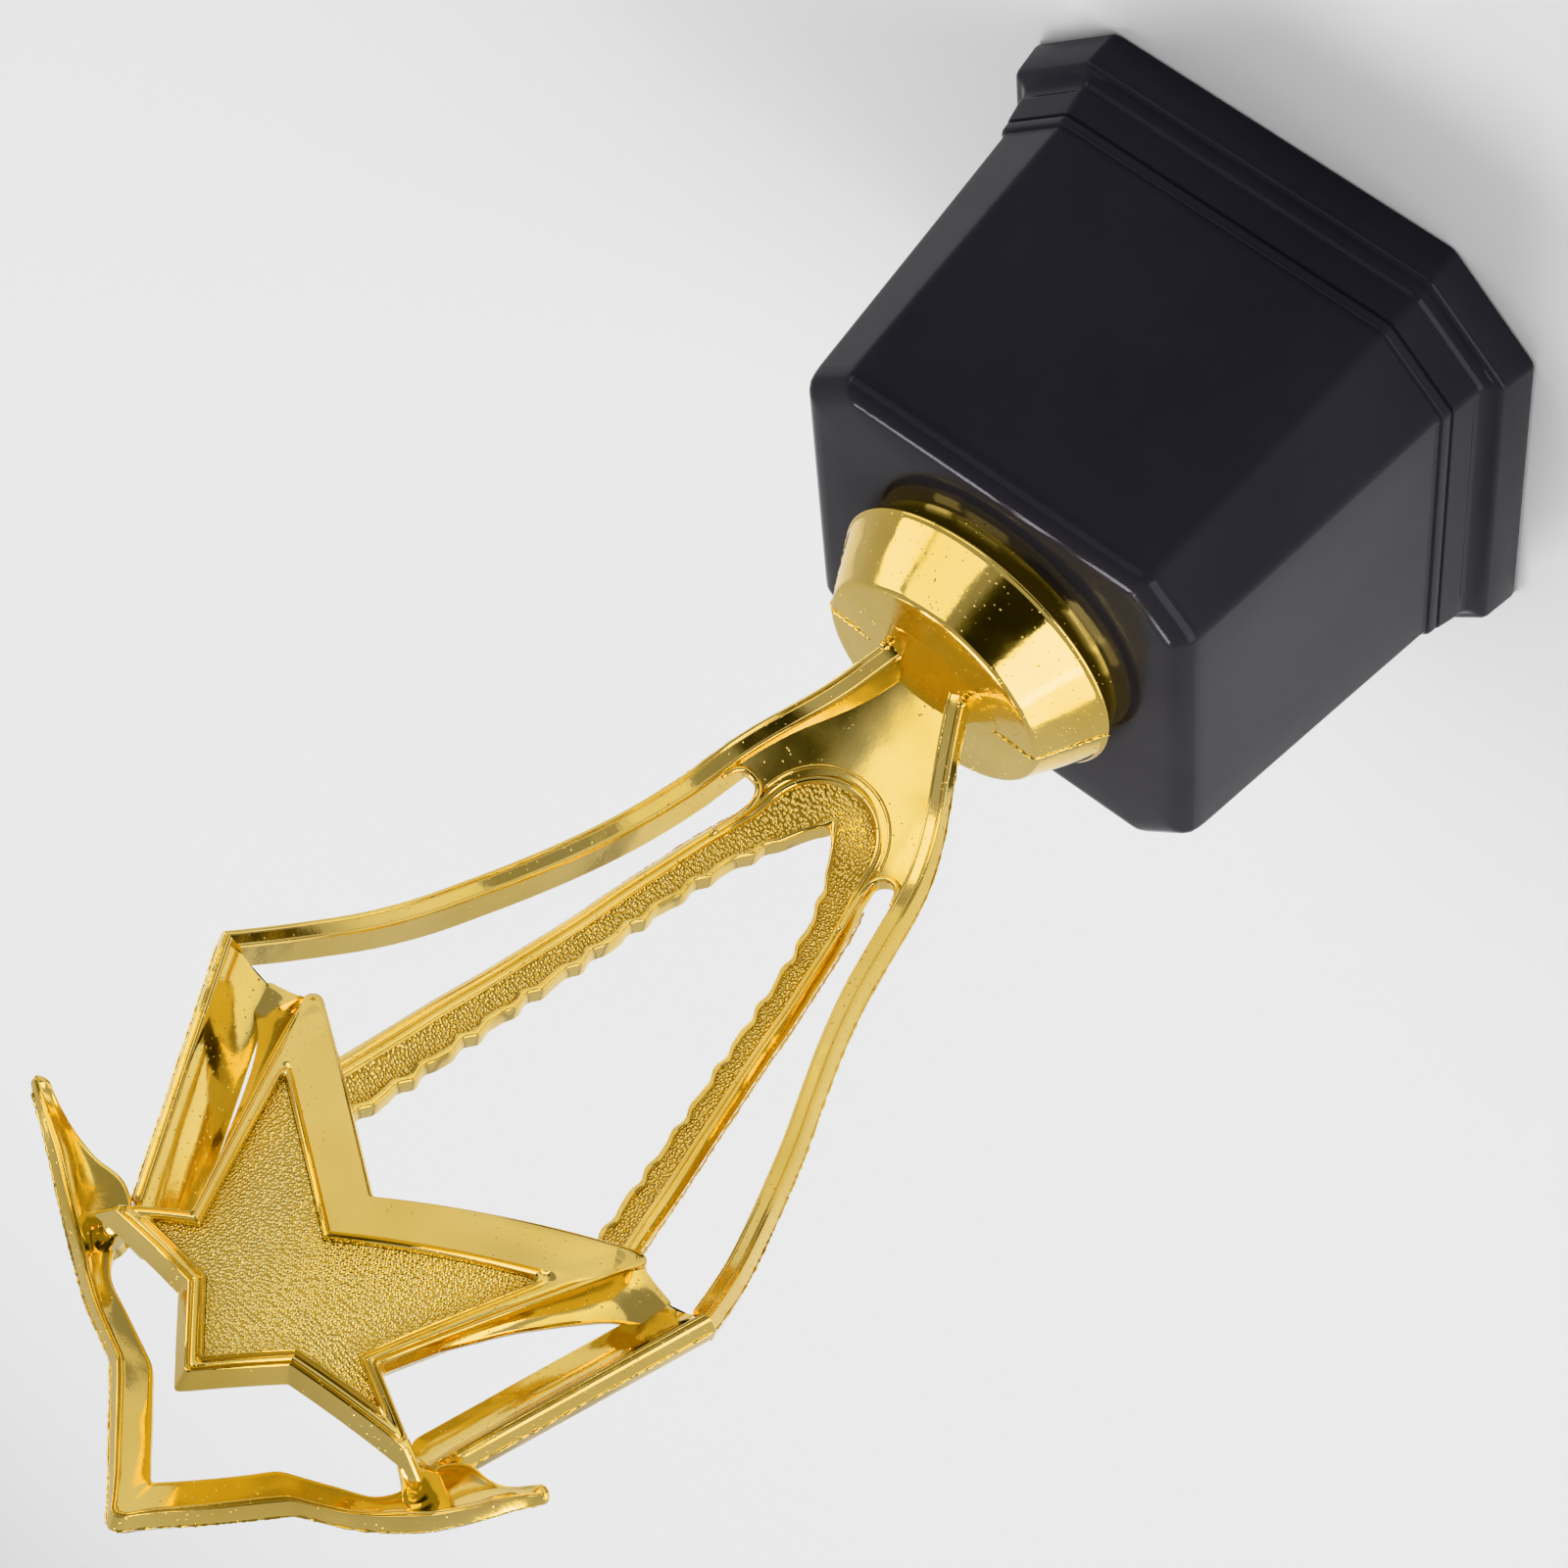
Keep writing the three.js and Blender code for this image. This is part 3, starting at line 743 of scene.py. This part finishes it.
def crown():
    """The whole bar, from the right wing's tip over the top to the left wing's tip."""
    stations = steps(10, 0.6, 130) + steps(0.5, 0.06, 9)
    rings = np.array([crown_section(t, 1) for t in stations])
    for _ in range(4):
        rings[1:SMOOTHED] = (rings[0:SMOOTHED - 1] + 2 * rings[1:SMOOTHED] + rings[2:SMOOTHED + 1]) / 4
    right = [[tuple(p) for p in ring] for ring in rings]
    centre = np.mean(rings[0], axis=0)
    tip = [[tuple(centre + (p - centre) * size + TIP_DIRECTION * push) for p in rings[0]] for size, push in WING_TIP]
    return [*tip, *right, crown_section(0.0, 1), *reversed(mirrored(right)), *reversed(mirrored(tip))]


crown_bar = loft("crown_and_wings", crown(), [GOLD], sharp=36)
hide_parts("crown_left", "crown_right", "wing_left", "wing_right")

# ---------------------------------------------------------------- star

# Sharp corners of the parting line, half width and height.
STAR_TOP, STAR_UPPER, STAR_ARM = (0.0, 181.8), (7.6, 173.25), (24.1, 170.5)
STAR_LOWER, STAR_LEG, STAR_NOTCH = (13.4, 165.4), (26.0, 133.15), (0.0, 151.9)
STAR_CENTRE = (0.0, 166.0)


def star_front(x, z):
    """Bulged front surface on which the star is drawn."""
    return -17.6 - 0.10 * (z - 170) + 0.0145 * x * x


def meet(p, d, q, e):
    """Where the line p + s d meets q + t e."""
    s, _ = np.linalg.solve(np.array([d, -np.array(e)]).T, np.array(q) - np.array(p))
    return np.array(p) + s * np.array(d)


def star_outline(insets, radii, arc=6, side=14):
    """The star as one closed loop of (x, z, share of the lower edge); insets go edge by edge from the top."""
    corners = [np.array(c, float) for c in (STAR_TOP, STAR_UPPER, STAR_ARM, STAR_LOWER, STAR_LEG, STAR_NOTCH)]
    top, upper, arm, flank_head, flank_foot, lower = insets
    lines = []
    for i, (d0, d1) in enumerate(((top, top), (upper, upper), (arm, arm), (flank_head, flank_foot), (lower, lower))):
        p, q = corners[i], corners[i + 1]
        along = (q - p) / np.linalg.norm(q - p)
        normal = np.array([along[1], -along[0]])
        if normal @ (np.array(STAR_CENTRE) - p) < 0:
            normal = -normal
        p, q = p + normal * d0, q + normal * d1
        lines.append((p, q - p))
    points = [meet(*lines[0], (0.0, 0.0), (0.0, 1.0))]
    points += [meet(*lines[i], *lines[i + 1]) for i in range(4)]
    points.append(meet(*lines[4], (0.0, 0.0), (0.0, 1.0)))
    loop = [(*p, r) for p, r in zip(points, radii)]
    loop += [(-p[0], p[1], r) for p, r in zip(points[4:0:-1], radii[4:0:-1])]
    arcs = rounded(loop, arc)
    step = arc + 1
    marks = [0, 0, 0, 0, None, 1, None, 0, 0, 0]
    ring = []
    for i in range(10):
        own = arcs[i * step:(i + 1) * step]
        after = arcs[((i + 1) % 10) * step]
        for k, p in enumerate(own):
            share = marks[i] if marks[i] is not None else (k / arc if i == 4 else 1 - k / arc)
            ring.append((p[0], p[1], smoothstep(share)))
        edge = 1.0 if i in (4, 5) else 0.0
        for k in range(1, side):
            p = np.array(own[-1]) + (np.array(after) - own[-1]) * k / side
            ring.append((p[0], p[1], edge))
    return ring


# Full width of the rim along the top, upper, arm and flank (head and foot) edges.
STAR_RIM = (3.05, 3.25, 1.9, 2.0, 3.1)
# Levels from the back edge over the parting line to the field: share of the rim's width along the first two edges and
# along the others, depth there, inset and depth along the lower edge, rounding of the tips.
STAR_PROFILE = [
    (0.85, 0.9, 3.6, 3.2, 3.6, 0.6), (0.79, 0.84, 4.6, 3.0, 4.6, 0.8), (0.42, 0.4, 4.75, 1.0, 4.75, 1.15),
    (0.24, 0.2, 4.3, 0.4, 4.4, 1.3), (0.026, 0.03, 2.5, 0.05, 2.8, 1.1), (0.0, 0.0, 2.3, 0.0, 2.5, 1.15),
    (0.035, 0.02, 2.1, 0.03, 2.2, 1.15), (0.31, 0.15, 0.55, 0.1, 1.75, 1.15), (0.345, 0.18, 0.22, 0.18, 1.45, 1.15),
    (0.375, 0.21, 0.05, 0.34, 1.2, 1.12), (0.415, 0.25, 0.0, 0.58, 1.04, 1.1), (0.445, 0.29, 0.08, 0.95, 0.96, 1.05),
    (0.475, 0.33, 0.36, 1.4, 0.92, 0.95), (0.515, 0.37, 0.4, 2.3, 0.83, 0.8), (0.55, 0.42, 0.1, 3.4, 0.66, 0.65),
    (0.6, 0.5, 0.0, 4.4, 0.42, 0.5), (0.68, 0.6, 0.1, 5.0, 0.2, 0.46), (0.75, 0.7, 0.3, 5.22, 0.14, 0.44),
    (0.795, 0.76, 0.46, 5.34, 0.42, 0.42), (0.83, 0.81, 0.44, 5.44, 0.48, 0.4),
    (0.862, 0.855, 0.1, 5.56, 0.12, 0.38), (0.895, 0.895, 0.0, 5.7, 0.0, 0.34), (0.93, 0.93, 0.1, 5.86, 0.08, 0.3),
    (0.965, 0.965, 0.5, 6.05, 0.5, 0.25), (1.0, 1.0, 1.25, 6.2, 1.25, 0.2),
]


def star_ring(level):
    """One level of the star's profile as a ring of points."""
    first, others, upper, inset, lower, tip = level
    insets = [w * first for w in STAR_RIM[:2]] + [w * others for w in STAR_RIM[2:]] + [inset]
    inner = 0.5 if tip > 0.5 else 0.25
    leg = min(tip * 1.35, 0.95 + 0.32 * upper)
    outline = star_outline(insets, (min(tip, 0.5), inner, tip * 0.45, inner, leg, inner))
    return [(x, star_front(x, z) + upper + (lower - upper) * share, z) for x, z, share in outline]


def shrunk(ring, share, depth):
    """A ring drawn in towards the star's centre, at a depth behind the bulged front."""
    cx, cz = STAR_CENTRE
    out = []
    for x, _, z in ring:
        x, z = cx + (x - cx) * share, cz + (z - cz) * share
        out.append((x, star_front(x, z) + depth, z))
    return out


rings = [star_ring(level) for level in STAR_PROFILE]
front = [shrunk(rings[-1], s, 1.4) for s in (0.8, 0.5, 0.2, 0.03)]
rear = [shrunk(rings[0], s, 3.6) for s in (0.03, 0.2, 0.5, 0.8)]
star = loft("star_frame", [*rear, *rings, *front], [GOLD], sharp=40)
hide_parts("star_body")

edge = star_ring((0.996, 0.996, 0.85, 6.18, 0.85, 0.1))
field = [shrunk(edge, s, 0.85) for s in (0.9, 0.75, 0.6, 0.45, 0.3, 0.15, 0.02)]
under = [shrunk(edge, s, 1.35) for s in (0.02, 0.5, 0.999)]
panel_piece = loft("star_field", [*under, edge, *field], [PEBBLED], sharp=50)
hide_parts("star_panel")

# ---------------------------------------------------------------- struts between the star and the frame

# The lower strut is a concave sheet from the leg's front edge (x, z) out to the frame (x, y, z).
LOWER_STRUT = curve([
    (0, 13.6, 163.6, 13.4, -12.6, 163.3), (1, 15.2, 160.0, 15.35, -11.4, 159.9),
    (2, 16.8, 156.0, 17.35, -10.2, 156.1), (3, 18.3, 152.4, 19.1, -8.9, 152.6), (4, 19.6, 149.2, 20.9, -7.4, 149.4),
    (5, 20.8, 146.3, 22.8, -5.8, 146.3), (6, 21.8, 143.6, 24.8, -4.6, 143.6), (7, 22.5, 141.6, 26.7, -3.8, 141.9),
    (8, 23.0, 139.9, 28.4, -3.7, 140.9), (9, 23.3, 138.6, 29.0, -4.0, 139.6), (10, 23.3, 137.5, 28.9, -4.2, 138.4),
    (11, 22.9, 136.7, 28.2, -4.0, 137.7),
])


def lower_strut(side):
    """Sections of the sheet, sagging between the star's edge and the frame, with a back that meets both."""
    rings = []
    for t in steps(0, 11, 56):
        px, pz, qx, qy, qz = LOWER_STRUT(t)
        p, q = np.array((px, star_front(px, pz) + 0.35, pz)), np.array((qx, qy, qz))
        reach = np.linalg.norm(q - p)
        ring = []
        for u in steps(0, 1, 13):
            sag = math.sin(math.pi * u ** 0.8) * 0.13 * reach
            ring.append(p + (q - p) * u + np.array((-0.25 * sag, sag, 0.0)))
        ring.append(q + np.array((0.1, 0.5, 0.0)))
        ring.append(q + np.array((-0.2, 1.6, 0.0)))
        back = p + np.array((-0.9, 4.2, 0.0))
        for u in steps(0, 1, 6)[1:]:
            ring.append(q + (back - q) * u + np.array((-0.2, 1.6, 0.0)) * (1 - u))
        ring.append(p + np.array((-1.6, 1.2, 0.0)))
        rings.append([(side * x, y, z) for x, y, z in ring])
    return rings


# The upper strut is a short waisted barrel from the back of the arm's tip to the foot of the wing: depth, half distance
# and height of its middle, half sizes.
UPPER_STRUT = curve([
    (-8.0, 20.6, 169.9, 1.0, 0.5), (-6.8, 20.8, 169.8, 1.5, 1.1), (-5.6, 21.0, 169.6, 1.6, 1.5),
    (-4.4, 21.25, 169.5, 1.75, 1.75), (-3.4, 21.7, 169.5, 1.9, 2.1), (-2.4, 22.2, 169.65, 2.05, 2.45),
    (-1.4, 22.45, 169.7, 2.15, 2.75), (0.2, 22.4, 169.7, 2.15, 2.8),
])


def upper_strut(side):
    rings = []
    for y in steps(-8.0, 0.2, 36):
        x, z, rx, rz = UPPER_STRUT(y)
        rings.append([(side * (x + rx * math.sin(a)), y, z + rz * math.cos(a)) for a in around(32)])
    return rings


# Corners of the tie's section, its middle, and the depths that it spans.
TIE_SECTION = [(17.6, 141.3, 0.8), (20.3, 137.7, 0.8), (22.4, 137.3, 0.8), (22.1, 141.2, 0.8)]
TIE_X, TIE_Z, TIE_FRONT, TIE_BACK = 20.3, 139.3, -7.0, 5.4


def band_tie(side):
    """The bar that joins the head of a band to the back of the star's leg."""
    outline = rounded(TIE_SECTION, 5)
    rings = []
    for y in steps(TIE_FRONT, TIE_BACK, 15):
        waist = 1 - 0.16 * math.sin(math.pi * (y - TIE_FRONT) / (TIE_BACK - TIE_FRONT))
        rings.append([(side * (TIE_X + (x - TIE_X) * waist), y, TIE_Z + (z - TIE_Z) * waist) for x, z in outline])
    return rings


for side, name in SIDES:
    loft("band_tie_" + name, band_tie(side), [GOLD], sharp=50)
    loft("strut_lower_" + name, lower_strut(side), [GOLD], sharp=50)
    loft("strut_upper_" + name, upper_strut(side), [GOLD], sharp=50)

# ---------------------------------------------------------------- moulding flash along the parting lines

rough = np.random.default_rng(7)
# Where the parting line runs on ribs and posts, measured from the ridge.
PARTING_OUT, PARTING_BACK = 0.93, 2.05
BEAD = ((1, 0), (0.5, 0.8), (-0.5, 0.8), (-1, 0), (-0.5, -0.8), (0.5, -0.8))


def flash(name, path, radius=0.13, place=figure):
    """A thin ragged bead where the mould's halves met."""
    rings = []
    for p, _, across, is_end in path_frames(path):
        k = radius * rough.uniform(0.45, 1.25) * (0.2 if is_end else 1)
        shift = rough.uniform(-0.05, 0.05)
        rings.append([tuple(p + (k * c + shift) * across + np.array((0, k * d, 0))) for c, d in BEAD])
    loft(name, rings, [GOLD], place=place, sharp=80)


for side, name in SIDES:
    ridges = (("rib_", RIB, steps(63.5, 138.1, 210)), ("post_", post_ridge, steps(138.4, 165.5, 80)))
    for part, ridge, heights in ridges:
        line = [(*ridge(z), z) for z in heights]
        flash("flash_" + part + name, [(side * (x + PARTING_OUT), y + PARTING_BACK, z) for x, y, z in line])
    line = [(BAND_OUTER(z), z) for z in steps(83.5, 140, 170)]
    flash("flash_band_" + name, [(side * (x + 1.0), cupped(x, z) + 1.75, z) for x, z in line])
    flash("flash_crown_" + name, [crown_section(t, side)[2] for t in steps(0.15, 9.8, 150)])

for side, name in SIDES:
    # Across the collar's top, down its cone and round its rim: radius and height.
    seam = [(r, 62.07) for r in steps(8.5, 14.0, 20)] + [(14.3, 62.0), (14.6, 61.86)]
    seam += [(14.85 + 0.532 * (61.5 - z), z) for z in steps(61.5, 54.8, 26)]
    seam += [(18.7, 54.5), (18.93, 54.2), (18.8, 53.85)]
    line = [(side * r * math.cos(TWIST), side * r * math.sin(TWIST), z) for r, z in seam]
    flash("flash_collar_" + name, line, 0.19, world)
    # The small round nub at the foot of each rib.
    x, y = RIB(62.9)
    nub = []
    for b in steps(-1.45, 1.45, 12):
        rx, ry, z = 0.62 * math.cos(b), 0.5 * math.cos(b), 62.75 + 0.6 * math.sin(b)
        nub.append([(side * (x - 0.15 + rx * math.cos(a)), y + 0.12 + ry * math.sin(a), z) for a in around(20)])
    loft("foot_nub_" + name, nub, [GOLD], sharp=80)

# ---------------------------------------------------------------- pieces kept from the frame

for name, material in (("base_cover", BLACK), ("fixing_screw", ZINC), ("fixing_washer", ZINC)):
    kept = frame["nodes"][name]
    kept.data.materials.clear()
    kept.data.materials.append(material)

# ---------------------------------------------------------------- floor, lights, camera

floor_material, tree, shader = nodes_of("pale_floor")
coords = node(tree, "ShaderNodeTexCoord").outputs["Object"]
pale = mix_colour(tree, noise(tree, coords, 1.5, 3), (0.71, 0.71, 0.71), (0.74, 0.74, 0.74))
tree.links.new(pale, shader.inputs["Base Color"])
shader.inputs["Roughness"].default_value = 0.8
tree.links.new(bump(tree, noise(tree, coords, 40, 3), 0.03, 0.001), shader.inputs["Normal"])
floor_mesh = bpy.data.meshes.new("floor")
floor_mesh.from_pydata([(-1.6, -0.42, 0), (1.6, -0.6, 0), (2.2, 3.2, 0), (-2.2, 3.2, 0)], [], [(0, 1, 2, 3)])
floor_mesh.materials.append(floor_material)
floor = bpy.data.objects.new("floor", floor_mesh)
bpy.context.collection.objects.link(floor)
floor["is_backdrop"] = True

# The room is darker in front than behind, and paler overhead.
studio = bpy.data.worlds.new("studio")
studio.use_nodes = True
bpy.context.scene.world = studio
tree = studio.node_tree
background = tree.nodes["Background"]
direction = node(tree, "ShaderNodeTexCoord").outputs["Generated"]
split = tree.nodes.new("ShaderNodeSeparateXYZ")
tree.links.new(direction, split.inputs[0])
depth = ramp(tree, split.outputs["Y"], -0.7, 0.5, 0.0, 1.0)
level = mix_colour(tree, depth, (0.36, 0.36, 0.365), (0.64, 0.64, 0.65))
lift = ramp(tree, split.outputs["Z"], 0.5, 1.0, 0.0, 1.0)
joined = tree.nodes.new("ShaderNodeMix")
joined.data_type = "RGBA"
joined.inputs[7].default_value = (0.5, 0.5, 0.505, 1)
tree.links.new(lift, joined.inputs[0])
tree.links.new(level, joined.inputs[6])
# A dark screen stands behind the camera.
facing = node(tree, "ShaderNodeVectorMath", operation="DOT_PRODUCT")
facing.inputs[1].default_value = (-0.457, -0.704, 0.545)
tree.links.new(direction, facing.inputs[0])
screen = ramp(tree, facing.outputs["Value"], 0.90, 0.955, 0.0, 1.0)
shaded = tree.nodes.new("ShaderNodeMix")
shaded.data_type = "RGBA"
shaded.inputs[7].default_value = (0.02, 0.02, 0.021, 1)
tree.links.new(screen, shaded.inputs[0])
tree.links.new(joined.outputs[2], shaded.inputs[6])
tree.links.new(shaded.outputs[2], background.inputs["Color"])
background.inputs["Strength"].default_value = 1.0


def lamp(name, location, target, size, power):
    """A rectangular softbox that faces its target."""
    data = bpy.data.lights.new(name, "AREA")
    data.shape = "RECTANGLE"
    data.size, data.size_y = size
    data.energy = power
    obj = bpy.data.objects.new(name, data)
    obj.location = location
    obj.rotation_euler = (Vector(target) - Vector(location)).to_track_quat("-Z", "Y").to_euler()
    bpy.context.collection.objects.link(obj)


lamp("softbox_left", (-1.15, 0.3, 0.42), (0, 0, 0.1), (0.6, 0.5), 2.7)
lamp("softbox_right", (1.15, -0.45, 0.45), (0, 0, 0.1), (0.6, 0.5), 2.6)
lamp("softbox_back", (0.35, 0.85, 1.3), (0, 0, 0.1), (0.6, 0.4), 12.0)
lamp("softbox_front", (0.66, -1.12, 0.70), (0, 0, 0.12), (0.95, 0.6), 2.9)
lamp("softbox_low", (-0.78, -0.2, 0.4), (-0.18, -0.09, 0), (0.6, 0.4), 3.4)

camera_data = bpy.data.cameras.new("camera")
camera_data.lens = 142.357
camera_data.sensor_width = 36
camera_data.clip_start = 0.05
camera = bpy.data.objects.new("camera", camera_data)
camera.location = (-0.242345, -0.586647, 0.322128)
camera.rotation_mode = "QUATERNION"
camera.rotation_quaternion = (-0.15075755, -0.31286351, -0.47498124, 0.80856751)
bpy.context.collection.objects.link(camera)
bpy.context.scene.camera = camera
bpy.context.scene.view_settings.view_transform = "Khronos PBR Neutral"


def corners(box):
    return [[round(float(v), 6) for v in corner] for corner in box]


{"frame": corners(cad_box), "visual": corners(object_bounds())}
